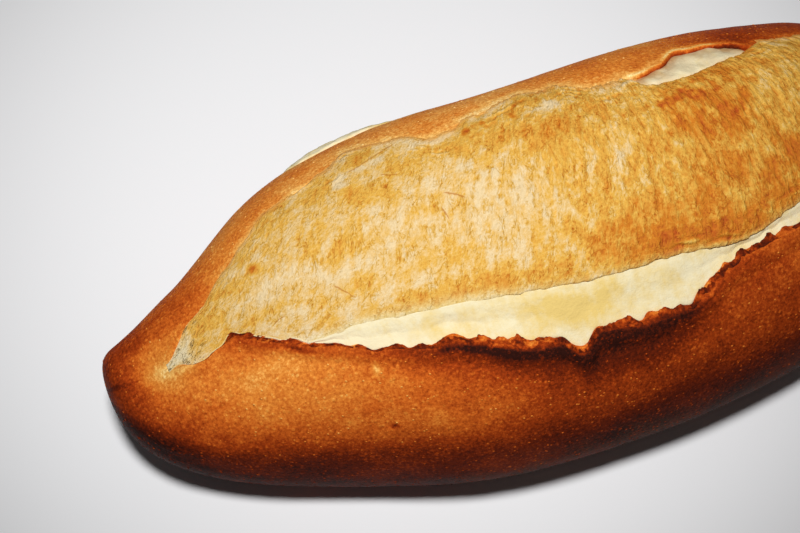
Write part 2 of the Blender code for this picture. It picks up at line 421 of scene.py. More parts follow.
def mottle(u, v, seed, octaves=3):
    """Smooth uneven pattern over a plane, from about -1 to 1."""
    total = 0.0
    for octave in range(octaves):
        scale = 2 ** octave
        p, q = u * scale, v * scale
        i, j = np.floor(p).astype(np.int64), np.floor(q).astype(np.int64)
        f, g = ease(p - i), ease(q - j)
        low = lattice(i, j, seed + octave) * (1 - f) + lattice(i + 1, j, seed + octave) * f
        high = lattice(i, j + 1, seed + octave) * (1 - f) + lattice(i + 1, j + 1, seed + octave) * f
        total = total + (low * (1 - g) + high * g) / scale
    return total


def station_of(x):
    """Station of a place along X."""
    return np.arccos(np.clip(-x / (LENGTH / 2), -1.0, 1.0)) / math.pi


def skin(x, angle, raised):
    """Points of the loaf at places along X and angles, raised off its plain outer skin."""
    x, angle, raised = np.broadcast_arrays(x, angle, raised)
    s = station_of(x)
    swell = np.maximum(np.sin(math.pi * s), 0.0)
    turn = np.radians(angle)
    side, up = np.cos(turn), np.sin(turn)
    fullness = np.where(side > 0, curve(FRONT_FULLNESS, s), curve(REAR_FULLNESS, s))
    axis = TIP_HEIGHT + (AXIS_HEIGHT - TIP_HEIGHT) * swell ** TIP_HEIGHT_POWER
    power = 2 / ROUNDNESS
    y = -SIDE_REACH * swell * fullness * np.sign(side) * np.abs(side) ** power
    crown = CROWN_RISE * swell * curve(TOP_FULLNESS, s)
    belly = (AXIS_HEIGHT + BASE_SINK) * np.minimum(swell * BELLY_SPREAD, 1.0) ** BELLY_POWER
    z = np.where(up > 0, crown, belly) * np.sign(up) * np.abs(up) ** power
    stretch = 1 + raised / np.maximum(np.hypot(y, z), LEAST_RADIUS)
    y = y * stretch + TIP_DRIFT * np.maximum(np.cos(math.pi * s), 0.0) ** 4 + SIDE_SHIFT
    return np.stack((x, y, pressed(axis + z * stretch)), -1) * UNIT


def pressed(z):
    """Height after the underside is pressed flat on z = 0, with a soft edge round the flat."""
    soft = (z + BASE_EDGE) ** 2 / (4 * BASE_EDGE)
    return np.where(z <= -BASE_EDGE, 0.0, np.where(z >= BASE_EDGE, z, soft))


def cut_fade(x):
    """0 outside the cut, 1 inside it."""
    return ease(np.minimum(x - CUT_FROM, CUT_TO - x) / CUT_FADE)


def torn(x, wave_parts, tears):
    """How far a lip's edge strays from its even line at places along X, in degrees."""
    strays = waves(x, wave_parts) + sum(change * bump(x, place, half) for place, half, change in tears)
    return strays * cut_fade(x)


def cut_lines(x):
    """Angles of the front lip, the crease and the rear lip at places along X."""
    share = (x - CUT_FROM) / (CUT_TO - CUT_FROM)
    strays = torn(x, LIP_WAVES, LIP_TEARS)
    lip = curve(FRONT_LIP, share) + strays
    crease = lip + np.maximum(curve(CREASE_GAP, share) - strays, LEAST_GAP)
    crease = mixed(lip + 0.2, crease, ease((x - CREASE_FROM) / 0.012))
    rear = curve(REAR_LIP, share) + torn(x, REAR_WAVES, REAR_TEARS)
    lift_place, lift_half, lift = POCKET_LIFT
    rear = rear + lift * bump(x, lift_place, lift_half)
    return lip, crease, np.maximum(rear, crease + 4 * LEAST_GAP)


def burnt_ridge(x, lip):
    """Angle of the front lip's burnt ridge: even, and outside the torn shreds."""
    share = (x - CUT_FROM) / (CUT_TO - CUT_FROM)
    even = curve(FRONT_LIP, share) + 0.8 * torn(x, (), LIP_TEARS)
    shreds = sum(width * bump(x, place, half) for place, half, width in FRINGES)
    return np.minimum(even - 0.6 - shreds * cut_fade(x), lip - 0.35)


def rear_pocket(x, rear):
    """Angle of the near edge of the bare crumb under the rear lip, and how far it is open, 0 to 1."""
    width = POCKET_WIDTH * lens_arch(x, POCKET_FROM, POCKET_TO)
    shown = ease(width / 4.5)
    even = curve(REAR_LIP, (x - CUT_FROM) / (CUT_TO - CUT_FROM))
    return mixed(rear, even, shown) - width, shown


def fold_depth(x):
    """How sharply the bloom folds over the crumb: 0 at the left, 1 from the middle on."""
    return ease((x + 0.026) / 0.020)


def pinch(x, angle):
    """Depth of the pinch that runs on from each end of the cut to the tip."""
    return PINCH_DEPTH * lens_arch(np.abs(x), PINCH_FROM, PINCH_TO) * bump(angle, PINCH_ANGLE, PINCH_SPREAD)


def places_along(count):
    """Places along X of the sections, a little closer at the tips."""
    t = np.arange(count + 1) / count
    s = t + EVENNESS * np.sin(math.tau * t) / math.tau
    return -LENGTH / 2 * np.cos(math.pi * s)


def columns(x, stops, rounds=0):
    """Angles, heights and marks round the sections at x; a stop is angle, height, mark and steps.

    With rounds, heights run straight between the stops and their corners are then worn round.
    """
    angles, heights, marks = [], [], []
    for (a0, h0, m0, steps), (a1, h1, m1, _) in zip(stops, stops[1:]):
        for step in range(steps):
            share = step / steps
            angles.append(mixed(a0, a1, share) + 0 * x)
            heights.append(mixed(h0, h1, share if rounds else ease(share)) + 0 * x)
            marks.append(mixed(m0, m1, share) + 0 * x)
    angle, height, mark_value = (np.stack(part, -1) for part in (angles, heights, marks))
    for _ in range(rounds):
        angle = (np.roll(angle, 1, 1) + 2 * angle + np.roll(angle, -1, 1)) / 4
        height = (np.roll(height, 1, 1) + 2 * height + np.roll(height, -1, 1)) / 4
    return angle, height, mark_value


def closed_loft(name, points, ends=None):
    """Mesh with a closed skin through rings of points, drawn to a point at each end."""
    rings, around = points.shape[:2]
    start, end = ends or (points[0].mean(0), points[-1].mean(0))
    vertices = np.concatenate(([start], points.reshape(-1, 3), [end]))
    ring = 1 + around * np.arange(rings - 1)[:, None]
    here, after = np.arange(around), (np.arange(around) + 1) % around
    quads = np.stack((ring + here, ring + around + here, ring + around + after, ring + after), -1)
    last = 1 + around * (rings - 1)
    tip = len(vertices) - 1
    first_fan = np.stack((np.zeros(around, int), 1 + here, 1 + after), -1)
    last_fan = np.stack((np.full(around, tip), last + after, last + here), -1)
    faces = first_fan.tolist() + quads.reshape(-1, 4).tolist() + last_fan.tolist()
    mesh = bpy.data.meshes.new(name)
    mesh.from_pydata(vertices, [], faces)
    mesh.shade_smooth()
    return mesh


def mark(mesh, **marks):
    """Store a value of each name for each point, with its own value for each pole."""
    for name, values in marks.items():
        flat = np.concatenate(([values[0, 0]], values.reshape(-1), [values[-1, 0]]))
        layer = mesh.attributes.new(name, 'FLOAT', 'POINT')
        layer.data.foreach_set("value", flat.astype(np.float32))


def mark_flow(mesh, x, angle):
    """Store how far each point lies along and across the loaf's leaning fibres, in metres."""
    across = np.radians(angle - FIBRE_PIVOT) * MEAN_RADIUS
    along = x - mixed(*FIBRE_LEAN, ease((x + 0.010) / 0.050)) * across
    along = along + FIBRE_BEND * np.maximum(across, 0.0) ** 2 * ease((x - 0.004) / 0.020)
    flow = np.stack((along, across, 0 * angle), -1).reshape(-1, 3)
    flow = np.concatenate((flow[:1], flow, flow[-1:]))
    layer = mesh.attributes.new("flow", 'FLOAT_VECTOR', 'POINT')
    layer.data.foreach_set("vector", flow.astype(np.float32).reshape(-1))


def place(name, mesh):
    """New object at the origin."""
    piece = bpy.data.objects.new(name, mesh)
    bpy.context.scene.collection.objects.link(piece)
    return piece


def settle(piece):
    """Tie a finished piece to the loaf."""
    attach(piece, BODY)
    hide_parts(NODE)


class Nodes:
    """Short ways to build a node tree."""

    def __init__(self, tree):
        self.tree = tree

    def put(self, socket, value):
        """Link a socket to a value from another node, or set it."""
        if isinstance(value, bpy.types.NodeSocket):
            self.tree.links.new(value, socket)
        elif socket.type == 'RGBA':
            socket.default_value = (*value, 1.0)
        else:
            socket.default_value = value

    def add(self, kind, settings=(), **inputs):
        """New node, with its settings and its inputs."""
        node = self.tree.nodes.new(kind)
        for key, value in dict(settings).items():
            setattr(node, key, value)
        for key, value in inputs.items():
            self.put(node.inputs[key.replace("_", " ")], value)
        return node

    def sums(self, operation, *values, kind="ShaderNodeMath"):
        """Result of a sum with values, or with vectors."""
        node = self.add(kind, {"operation": operation})
        for socket, value in zip(node.inputs, values):
            self.put(socket, value)
        return node.outputs[0]

    def vectors(self, operation, *values):
        """Result of a sum with vectors."""
        return self.sums(operation, *values, kind="ShaderNodeVectorMath")

    def total(self, start, *parts):
        """A start plus each part times its weight."""
        for value, weight in parts:
            start = self.sums('MULTIPLY_ADD', value, weight, start)
        return start

    def held(self, value):
        """Value held between 0 and 1."""
        return self.sums('MINIMUM', self.sums('MAXIMUM', value, 0.0), 1.0)

    def noise(self, vector, scale, detail, roughness=0.5, distortion=0.0):
        """Smooth noise about 0."""
        node = self.add("ShaderNodeTexNoise", Vector=vector, Scale=scale, Detail=detail,
                        Roughness=roughness, Distortion=distortion)
        return self.sums('SUBTRACT', node.outputs[0], 0.5)

    def effect(self, name, **inputs):
        """What one of the shared effects puts out."""
        return self.add("ShaderNodeGroup", {"node_tree": bpy.data.node_groups[name]}, **inputs).outputs[0]

    def marked(self, name, output="Fac"):
        """What a piece's points are marked with under a name."""
        return self.add("ShaderNodeAttribute", {"attribute_name": name}).outputs[output]

    def stored(self, name, kind='FLOAT'):
        """The same in a geometry node tree."""
        node = self.add("GeometryNodeInputNamedAttribute", {"data_type": kind}, Name=name)
        return node.outputs["Attribute"]

    def blend(self, factor, first, second, mode='MIX'):
        """Colour between two."""
        node = self.add("ShaderNodeMix", {"data_type": 'RGBA', "blend_type": mode})
        for socket, value in zip((node.inputs[0], node.inputs[6], node.inputs[7]), (factor, first, second)):
            self.put(socket, value)
        return node.outputs[2]

    def spread(self, value, low, high, to_low=0.0, to_high=1.0):
        """Value mapped from one range to another, and held inside it."""
        node = self.add("ShaderNodeMapRange")
        for socket, number in zip(node.inputs, (value, low, high, to_low, to_high)):
            self.put(socket, number)
        return node.outputs[0]

    def bumped(self, height, distance):
        """Normal roughened by a height."""
        return self.add("ShaderNodeBump", Height=height, Distance=distance).outputs[0]


def linear(colour):
    """Screen colour as the renderer's linear colour."""
    return tuple(c / 12.92 if c <= 0.04045 else ((c + 0.055) / 1.055) ** 2.4 for c in colour)


def new_group(kind, name, inputs, output):
    """Node group with named inputs and one output; returns its nodes, its inputs and its output's socket.

    inputs gives each label its default where that is a plain value, or else its type.
    """
    group = bpy.data.node_groups.new(name, kind)
    for label, given in inputs.items():
        plain = isinstance(given, float)
        socket = group.interface.new_socket(label, in_out='INPUT', socket_type=VALUE if plain else given)
        if plain:
            socket.default_value = given
    group.interface.new_socket(output[0], in_out='OUTPUT', socket_type=output[1])
    given, result = group.nodes.new("NodeGroupInput"), group.nodes.new("NodeGroupOutput")
    return Nodes(group), given.outputs, result.inputs[0]


def freckle_group():
    """Small round freckles at random places: how strongly each point lies in one."""
    nodes, given, result = new_group(
        "ShaderNodeTree", "Freckles", {"Vector": VECTOR, "Scale": 1000.0, "Size": 0.3, "Share": 0.4},
        ("Mask", VALUE))
    cells = nodes.add("ShaderNodeTexVoronoi", Vector=given["Vector"], Scale=given["Scale"])
    separate = nodes.add("ShaderNodeSeparateColor", Color=cells.outputs["Color"])
    chosen = nodes.sums('LESS_THAN', separate.outputs[0], given["Share"])
    size = nodes.sums('MULTIPLY', given["Size"], nodes.sums('ADD', separate.outputs[1], 0.35))
    inside = nodes.sums('SUBTRACT', 1.0, nodes.sums('DIVIDE', cells.outputs["Distance"], size))
    soft = nodes.held(nodes.sums('MULTIPLY', inside, 2.0))
    nodes.put(result, nodes.sums('MULTIPLY', soft, chosen))


def vein_group():
    """Short curling veins: how strongly each point lies on one."""
    nodes, given, result = new_group(
        "ShaderNodeTree", "Veins",
        {"Vector": VECTOR, "Scale": 900.0, "Stretch": 0.6, "Width": 0.05, "Share": 0.5}, ("Mask", VALUE))
    squeeze = nodes.add("ShaderNodeCombineXYZ", X=given["Scale"], Z=given["Scale"],
                        Y=nodes.sums('MULTIPLY', given["Scale"], given["Stretch"]))
    scaled = nodes.vectors('MULTIPLY', given["Vector"], squeeze.outputs[0])
    away = nodes.sums('ABSOLUTE', nodes.noise(scaled, 1.0, 2.0, distortion=0.8))
    line = nodes.sums('SUBTRACT', 1.0, nodes.sums('DIVIDE', away, given["Width"]))
    breaks = nodes.total(-0.25, (nodes.noise(scaled, 0.7, 2.0), 1.0), (given["Share"], 0.5))
    kept = nodes.held(nodes.sums('MULTIPLY', breaks, 14.0))
    nodes.put(result, nodes.sums('MULTIPLY', nodes.sums('MAXIMUM', line, 0.0), kept))


def mottle_group():
    """Cloudy unevenness at two scales, about 0."""
    nodes, given, result = new_group(
        "ShaderNodeTree", "Mottle", {"Vector": VECTOR, "Coarse": 120.0, "Fine": 900.0, "Fine Share": 0.4},
        ("Value", VALUE))
    coarse = nodes.noise(given["Vector"], given["Coarse"], 4.0, 0.55)
    fine = nodes.noise(given["Vector"], given["Fine"], 3.0, 0.6)
    nodes.put(result, nodes.total(coarse, (fine, given["Fine Share"])))


def baking_group():
    """Colour of crust by how far it is baked: 0 pale gold, 1 burnt."""
    nodes, given, result = new_group("ShaderNodeTree", "Baking", {"Bake": 0.5}, ("Color", COLOUR))
    ramp = nodes.add("ShaderNodeValToRGB", Fac=given["Bake"])
    band = ramp.color_ramp.elements
    band.remove(band[1])
    for position, _ in BAKED_COLOURS[1:]:
        band.new(position)
    for element, (_, colour) in zip(band, BAKED_COLOURS):
        element.color = (*linear(colour), 1.0)
    nodes.put(result, ramp.outputs[0])


def new_material(name):
    """Material with a plain Principled BSDF; returns it, its nodes and the shader's inputs."""
    material = bpy.data.materials.new(name)
    material.use_nodes = True
    return material, Nodes(material.node_tree), material.node_tree.nodes["Principled BSDF"].inputs


def crust_material(colours):
    """Thin baked crust: browned in clouds, with pale freckles, golden where torn and floury at the foot."""
    material, nodes, shader = new_material("baked_crust")
    where = nodes.add("ShaderNodeTexCoord").outputs["Object"]
    bake, ripped, flour = (nodes.marked(name) for name in ("bake", "torn", "flour"))
    clouds = nodes.effect("Mottle", Vector=where, Coarse=170.0, Fine=620.0, Fine_Share=0.6)
    grain = nodes.noise(where, 1800.0, 4.0, 0.75)
    freckles = nodes.effect("Freckles", Vector=where, Scale=1250.0, Size=0.42, Share=0.55)
    dots = nodes.effect("Freckles", Vector=where, Scale=430.0, Size=0.14, Share=0.25)
    spots = nodes.sums('MAXIMUM', nodes.sums('MULTIPLY', freckles, 0.6), dots)
    uneven = nodes.total(bake, (clouds, 0.26), (grain, 0.50))
    paler = nodes.sums('MULTIPLY', spots, nodes.total(0.08, (bake, 0.15)))
    baked = nodes.effect("Baking", Bake=nodes.total(uneven, (paler, -1.0), (ripped, -0.12)))
    powder = nodes.spread(nodes.noise(where, 1700.0, 4.0, 0.7), -0.14, 0.24)
    dust = nodes.sums('MULTIPLY', flour, powder)
    # Painted fine shading: the grain darkens and lightens the baked colour the way its relief would under
    # light.
    micro_shaded = nodes.blend(1.0, baked, nodes.total(1.0, (grain, -1.1)), 'MULTIPLY')
    nodes.put(shader["Base Color"], nodes.blend(dust, micro_shaded, linear(colours.flour)))
    gloss = nodes.spread(uneven, 0.2, 0.9, 0.50, 0.42)
    nodes.put(shader["Roughness"], nodes.total(gloss, (dust, 0.4), (ripped, 0.35)))
    shader["Specular IOR Level"].default_value = 0.006
    height = nodes.total(0.0, (grain, 0.8), (spots, 0.6))
    nodes.put(shader["Normal"], nodes.bumped(height, 0.00010))
    return material


def bloom_material(colours):
    """Golden bloom: cream patches on gold, toasted in clouds, granular, with fine threads and streaks."""
    material, nodes, shader = new_material("torn_bloom")
    cream, gold, toasted, white, yellow = (linear(colour) for colour in (
        colours.bloom_cream, colours.bloom_gold, colours.bloom_toast, colours.crumb_white,
        colours.crumb_yellow))
    flow = nodes.marked("flow", "Vector")
    fibre, toast, bare, meets = (nodes.marked(name) for name in ("fibre", "toast", "bare", "meets"))
    mottling = nodes.effect("Mottle", Vector=flow, Coarse=230.0, Fine=800.0, Fine_Share=0.65)
    grain = nodes.noise(flow, 1900.0, 3.0, 0.75)
    drawn = nodes.add("ShaderNodeMapping", Vector=flow, Scale=(1.0, 0.42, 1.0)).outputs[0]
    streaks = nodes.noise(drawn, 1250.0, 3.0, 0.65, 1.1)
    lines = nodes.sums('MULTIPLY', streaks, nodes.marked("drawn"))
    veins = nodes.effect("Veins", Vector=flow, Scale=560.0, Stretch=0.55, Width=0.034, Share=0.50)
    threads = nodes.effect("Veins", Vector=flow, Scale=1150.0, Stretch=0.6, Width=0.060, Share=0.50)
    islands = nodes.spread(nodes.noise(flow, 300.0, 5.0, 0.62), -0.01, 0.12, 0.0, 0.23)
    level = nodes.total(toast, (mottling, 0.72), (islands, -1.0), (grain, -0.70), (veins, 0.24),
                        (threads, 0.26), (lines, -0.60), (fibre, -0.24))

    pale = nodes.blend(nodes.spread(level, 0.0, 0.42), cream, gold)
    warm = nodes.blend(nodes.spread(level, 0.42, 0.85), pale, toasted)
    brown = nodes.blend(nodes.spread(level, 0.85, 1.35), warm, nodes.effect("Baking", Bake=0.56))
    crumb = nodes.blend(nodes.spread(level, 0.1, 0.7), white, yellow)
    opened = nodes.blend(nodes.sums('MULTIPLY', bare, 0.85), brown, crumb)
    rim = nodes.effect("Baking", Bake=nodes.total(0.17, (level, 0.16)))
    # Painted fine shading: grain, streaks, veins and threads lighten and darken the colour the way their
    # relief would under light.
    light = nodes.total(1.0, (grain, 0.45), (lines, 0.35), (veins, -0.10), (threads, -0.10))
    micro_shaded = nodes.blend(1.0, nodes.blend(meets, opened, rim), light, 'MULTIPLY')

    off = nodes.total(nodes.marked("crack_side"), (mottling, 0.90), (grain, -0.36))
    split = nodes.total(nodes.marked("crack_reach"), (nodes.sums('ABSOLUTE', off), -1 / CRACK_WIDTH))
    split = nodes.sums('MULTIPLY', nodes.sums('MAXIMUM', split, 0.0), 1.4)
    cracked = nodes.blend(nodes.sums('MINIMUM', split, 0.65), micro_shaded, linear(colours.crack))
    holes = nodes.effect("Freckles", Vector=flow, Scale=1300.0, Size=0.46, Share=0.42)
    pores = nodes.sums('MULTIPLY', nodes.sums('MAXIMUM', holes, threads), nodes.marked("porous"))
    holed = nodes.blend(nodes.sums('MULTIPLY', pores, 0.6), cracked, linear(colours.pore))
    nodes.put(shader["Base Color"], holed)
    shader["Roughness"].default_value = 0.66
    shader["Specular IOR Level"].default_value = 0.12
    height = nodes.total(0.0, (grain, 1.8), (lines, 2.6), (veins, -0.3), (threads, -0.3), (pores, -1.2))
    nodes.put(shader["Normal"], nodes.bumped(height, 0.00015))
    return material


def crumb_material(colours):
    """Bare crumb: soft white with yellow clouds and fine grain, darkened towards painted shade in the rear
    pocket.
    """
    material, nodes, shader = new_material("bare_crumb")
    white, yellow, painted_shade_colour = (linear(colour) for colour in (
        colours.crumb_white, colours.crumb_yellow, colours.crumb_painted_shade))
    where = nodes.add("ShaderNodeTexCoord").outputs["Object"]
    clouds = nodes.effect("Mottle", Vector=where, Coarse=190.0, Fine=600.0, Fine_Share=0.5)
    grain = nodes.noise(where, 1500.0, 4.0, 0.7)
    drawn = nodes.add("ShaderNodeMapping", Vector=where, Scale=(1.0, 0.25, 0.25)).outputs[0]
    streaks = nodes.noise(drawn, 700.0, 3.0)
    level = nodes.total(nodes.marked("yolk"), (clouds, 1.6), (grain, 0.6), (streaks, 1.0))
    tint = nodes.blend(nodes.spread(level, 0.05, 0.95), white, yellow)
    # The shade mark darkens the crumb with painted shade.
    nodes.put(shader["Base Color"], nodes.blend(nodes.marked("shade"), tint, painted_shade_colour))
    shader["Roughness"].default_value = 0.80
    shader["Specular IOR Level"].default_value = 0.20
    nodes.put(shader["Normal"], nodes.bumped(grain, 0.00015))
    return material


def finish(name):
    """The finish of that name; the effects that the finishes share are built once, with the first."""
    if "Mottle" not in bpy.data.node_groups:
        for build in (mottle_group, freckle_group, vein_group, baking_group):
            build()
    builders = {"baked_crust": crust_material, "torn_bloom": bloom_material, "bare_crumb": crumb_material}
    return bpy.data.materials.get(name) or builders[name](bpy.context.scene.loaf_colours)


def crust_bake(x, angle, ridge):
    """How far the crust is baked, from 0 to 1, by its place on the loaf."""
    front = 0.86 - 0.42 * ease((angle + 5.0) / 50.0) + 0.08 * ease(-angle / 25.0)
    front = front + 0.05 * ease((x + 0.030) / 0.040)
    front = front + 0.06 * bump(angle, 46.0, 9.0) * ease((x + 0.050) / 0.012)
    front = front + patches(x, angle, BAKE_CLOUDS)
    reach = mixed(4.5, 9.5, ease((x + 0.045) / 0.020))
    near_lip = np.where(angle < ridge, bump(angle, ridge, reach), bump(angle, ridge, 2.5))
    near_lip = near_lip * (1 - 0.8 * ease((x - 0.006) / 0.012))
    front = front + (0.15 + 0.21 * bump(x, -0.009, 0.024)) * near_lip
    rear = 0.33 + 0.26 * ease((angle - 148.0) / 34.0) + 0.22 * ease((angle - 184.0) / 26.0)
    rear = rear + 0.30 * ease((x - 0.026) / 0.018) + 0.17 * ease((-x - 0.055) / 0.014)
    value = np.where(angle < REAR_FROM, front, rear)
    tip = 0.30 * ease((np.abs(x) - 0.0680) / 0.0125) * (1 - 0.4 * ease((angle - 90.0) / 20.0))
    valley = 0.38 * bump(np.abs(x), 0.0745, 0.0048) * bump(angle, 77.0, 17.0)
    return value + tip - valley + 0.06 * mottle(x / 0.011, angle / 16.0, 5)


def scorch(x, angle, ridge):
    """Black-brown burn along the front lip's ridge."""
    strength = sum(most * bump(x, place, half) for place, half, most in SCORCHES)
    ragged = 1.0 + 0.4 * mottle(x / 0.0025, angle / 3.0, 17, 2)
    return strength * ragged * bump(angle, ridge - 1.1, 1.5)


def rear_gold_and_painted_rim_shadow(x, angle, rear, bared):
    """How much paler the rear crust is near the cut and where the pocket bares its torn rim, less a painted
    shadow line on the rim's edge over the pocket and a darker band of crust behind the rim.
    """
    gold = 0.17 * bump(angle, rear + 2.0, 5.0) * (1 - bared)
    gold = gold + 0.22 * bump(angle, rear + 1.4, 1.1) * bared
    gold = gold * (0.8 + 0.7 * mottle(x / 0.0060, angle / 4.0, 23))
    gold = gold * (1 - 0.6 * ease((x - 0.050) / 0.010)) * ease((x + 0.066) / 0.020)
    # Painted shadow: a thin dark line on the rim's edge face above the pocket's crumb; the wider band
    # further back is the crust's own darker colour.
    painted_rim_shadow_and_dark_band = 0.42 * bump(angle, rear, 0.42) + 0.10 * bump(angle, rear + 6.0, 4.0)
    return (gold - painted_rim_shadow_and_dark_band * bared) * (angle > REAR_FROM)


def burst_halo(x, angle):
    """1 on the paler crust round the side burst, 0 away from it."""
    arch = lens_arch(x, BURST_FROM - 0.004, BURST_TO + 0.004)
    return bump(angle, BURST_ANGLE, BURST_SPREAD + 3.0) * ease(4 * arch)


def flour_dust(x, angle):
    """How much flour lies on the foot of the front crust."""
    low = ease((9.0 - angle) / 24.0) * ease((angle + 66.0) / 14.0) * ease((x + 0.036) / 0.016)
    return 0.52 * low * (0.72 + 0.5 * mottle(x / 0.006, angle / 9.0, 21))


class BOLILLO_OT_crust(bpy.types.Operator):
    """Add the crust: the loaf's outer skin with its torn front lip and its thin rear lip"""
    bl_idname = "bolillo.crust"
    bl_label = "Add Crust"

    def execute(self, context):
        sizes = context.scene.loaf_sizes
        x = places_along(CRUST_SECTIONS)[1:-1]
        lip, _, rear = cut_lines(x)
        deep = cut_fade(x)
        _, shown = rear_pocket(x, rear)
        ridge = burnt_ridge(x, lip)
        inside = (                  # angle, height, mark and steps of the stops inside the open cut
            (lip - 0.15, -0.0006, 1.0, 2),
            (lip + 0.05, -0.0010, 1.0, 3),
            (lip, -0.0014, 1.0, 3),
            (lip - 1.0, -0.0020, 1.0, 2),
            (lip - 2.5, -0.0036, 1.0, 1),
            (lip, -sizes.cut_floor, 1.0, 8),
            (rear, -sizes.cut_floor, shown, 1),
            (rear + 3.0, -0.0036, shown, 2),
            (rear + 1.7, -0.0019, shown, 3),
            (rear + mixed(1.8, 0.3, shown), -0.0010, shown, 3),
            (rear + mixed(1.5, 0.0, shown), mixed(-0.00030, -0.0004, shown), 0.6 * shown, 3),
        )
        shut = [mixed(lip, rear, (n + 1) / (len(inside) + 1)) for n in range(len(inside))]
        inside = [(mixed(closed, angle, deep), height, 0.9 * ripped, steps)
                  for closed, (angle, height, ripped, steps) in zip(shut, inside)]
        stops = [
            (-90.0, 0.0, 0.0, 6),
            (-66.0, 0.0, 0.0, 9),
            (-36.0, 0.0, 0.0, 14),
            (0.0, 0.0, 0.0, 44),
            (ridge - 7.0, 0.0, 0.0, 16),
            (ridge - 1.4, 0.9 * sizes.lip_curl, 0.0, 4),
            (ridge, sizes.lip_curl, 0.15, 9),
            *inside,
            (rear + mixed(1.6, 0.5, shown), mixed(-0.00003, sizes.rim_curl, shown), 0.4 * shown, 4),
            (rear + 2.8, 0.9 * sizes.rim_curl * shown, 0.2 * shown, 10),
            (rear + 9.0, 0.0, 0.0, 22),
            (190.0, 0.0, 0.0, 10),
            (216.0, 0.0, 0.0, 8),
            (246.0, 0.0, 0.0, 5),
            (270.0, 0.0, 0.0, 0),
        ]
        angle, height, ripped = columns(x, stops)
        x, fade, ridge, rear, bared = (part[:, None] for part in (x, deep, ridge, rear, shown))
        in_fringe = ease((angle - ridge) / 0.5) * (angle < REAR_FROM) * ripped * fade
        ragged = mottle(x / 0.0011, angle / 0.9, 11, 3) * fade
        fine = mottle(x / 0.0006, angle / 0.8, 13, 2) * fade
        lumps = 0.00009 * mottle(x / 0.009, angle / 14.0, 3) * np.where(angle > -30.0, 1.0, 0.2)
        flaw = patches(x, angle, FLAWS)
        raised = height * fade - pinch(x, angle) + lumps * (1 - ripped) - 0.0005 * np.maximum(flaw, 0.0)
        raised = raised + (0.00016 * ragged + 0.00007 * fine) * in_fringe
        points = skin(x, angle + (0.28 * ragged + 0.14 * fine) * in_fringe, raised)
        tips = [skin(end * LENGTH / 2, 0.0, 0.0) for end in (-1, 1)]
        mesh = closed_loft("crust", points, tips)
        bake = crust_bake(x, angle, ridge) + scorch(x, angle, ridge) + flaw
        bake = bake - rear_gold_and_painted_rim_shadow(x, angle, rear, bared) * fade - 0.16 * burst_halo(x, angle)
        shreds = 0.64 + 0.26 * mottle(x / 0.0017, angle / 1.2, 19, 2)
        open_skin = ((angle > -30.0) & (angle < ridge - 0.5)) | ((angle > rear + 3.0) & (angle < 212.0))
        mark(mesh, bake=np.clip(mixed(bake, shreds, 0.85 * in_fringe), 0.0, 1.0), torn=ripped * fade,
             flour=flour_dust(x, angle), open_skin=open_skin * (0.45 + 0.75 * ease((70.0 - angle) / 60.0)))
        mesh.materials.append(finish("baked_crust"))
        settle(place("crust", mesh))
        return {'FINISHED'}


class BOLILLO_OT_shreds(bpy.types.Operator):
    """Add the torn shreds between the front lip's burnt ridge and the bare crumb"""
    bl_idname = "bolillo.shreds"
    bl_label = "Add Torn Shreds"

    def execute(self, context):
        sizes = context.scene.loaf_sizes
        x = np.linspace(CUT_FROM, CUT_TO, SHRED_SECTIONS)[20:-20]
        lip, _, _ = cut_lines(x)
        ridge = burnt_ridge(x, lip)
        wide = np.minimum((lip - ridge) / 2.5, 1.0) * cut_fade(x)
        ragged = (0.40 + 0.55 * wide) * mottle(x / 0.0015, 0 * x, 91, 4)
        ragged = ragged + sum(change * bump(x, place, half) for place, half, change in FRAYS)
        edge = np.maximum(lip + 0.10 + ragged, ridge + 0.35)
        stops = [
            (ridge - 0.5, 0.2 * sizes.lip_curl, 0.0, 3),
            (ridge + 0.15, 0.7 * sizes.lip_curl, 0.4, 5),
            (mixed(ridge, edge, 0.45), 0.25 * sizes.lip_curl, 0.9, 7),
            (edge, -0.00035, 1.0, 2),
            (edge - 0.05, -0.00065, 1.0, 2),
            (mixed(ridge, edge, 0.6), -0.0011, 0.5, 3),
            (ridge - 0.5, -0.0010, 0.0, 2),
            (ridge - 0.5, 0.2 * sizes.lip_curl, 0.0, 0),
        ]
        angle, height, ripped = columns(x, stops)
        x, ridge, wide, fade = (part[:, None] for part in (x, ridge, wide, cut_fade(x)))
        crags = 0.00030 * mottle(x / 0.0010, angle / 1.3, 93, 3) * (0.4 + 0.6 * wide) * ripped
        mesh = closed_loft("torn_shreds", skin(x, angle, height * fade + crags - END_SINK * (1 - fade)))
        bake = 0.88 + 0.15 * mottle(x / 0.0026, angle / 1.6, 97, 2) - 0.18 * bump(x, -0.018, 0.005) * wide
        bake = bake + 0.16 * mottle(x / 0.0006, angle / 0.8, 99, 2)
        mark(mesh, bake=np.clip(bake, 0.0, 1.0), torn=ripped, flour=0.0 * angle)
        mesh.materials.append(finish("baked_crust"))
        settle(place("torn_shreds", mesh))
        return {'FINISHED'}


